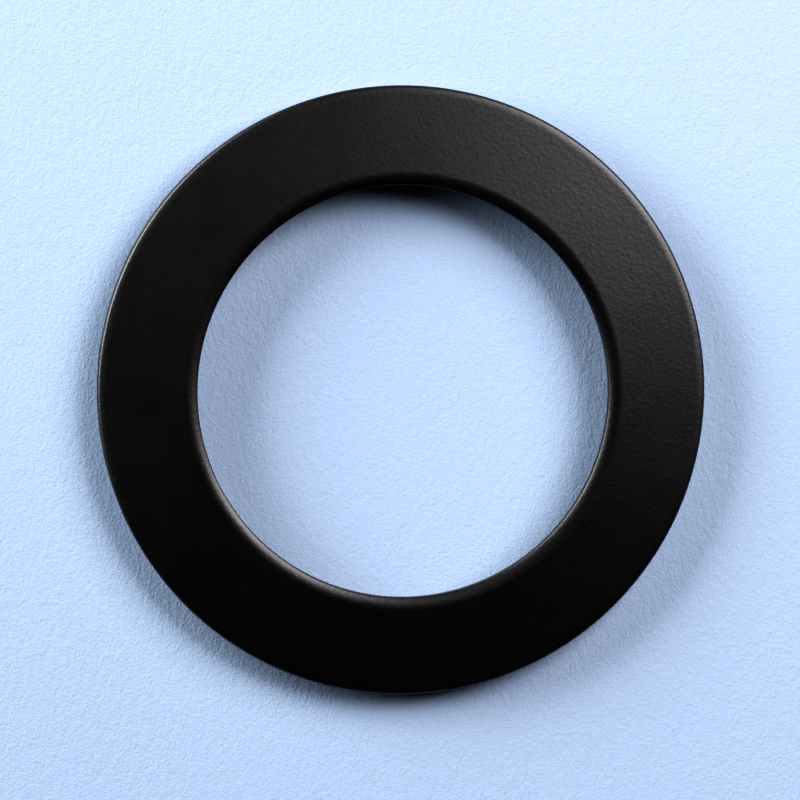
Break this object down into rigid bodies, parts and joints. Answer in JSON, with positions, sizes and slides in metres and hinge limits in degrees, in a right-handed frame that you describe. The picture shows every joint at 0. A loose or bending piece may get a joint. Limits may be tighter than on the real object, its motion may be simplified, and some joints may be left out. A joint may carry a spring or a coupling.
{
  "type": "ring insulator",
  "caption": "Low black cover ring with a conical face and a rounded lip round its hole, which twists on to a base ring screwed round an opening.",
  "frame": {"origin": "the ring's centre, on the surface of the panel that the gasket lies on", "axes": "+Z along the ring's axis, out of the panel; +X through one of the four bayonet lugs with the cover locked"},
  "size_m": [0.15, 0.15, 0.022],
  "materials": {
    "black_moulding": "satin black with a fine orange-peel grain",
    "grey_moulding": "dull dark grey moulding",
    "foam": "closed-cell foam",
    "rubber": "dull moulded rubber",
    "plated_steel": "zinc plated"
  },
  "bodies": {
    "base": {"base_ring": "grey_moulding", "gasket": "foam", "cushion_ring": "rubber", "screw_1": "plated_steel", "screw_2": "plated_steel", "screw_3": "plated_steel", "screw_4": "plated_steel", "washer_1": "plated_steel", "washer_2": "plated_steel", "washer_3": "plated_steel", "washer_4": "plated_steel"},
    "cover": {"cover_ring": "black_moulding"}
  },
  "joints": [
    {"name": "cover_twist", "type": "hinge", "parent": "base", "child": "cover", "pos_m": [0, 0, 0], "axis": [0, 0, 1], "range_deg": [0, 18]}
  ]
}
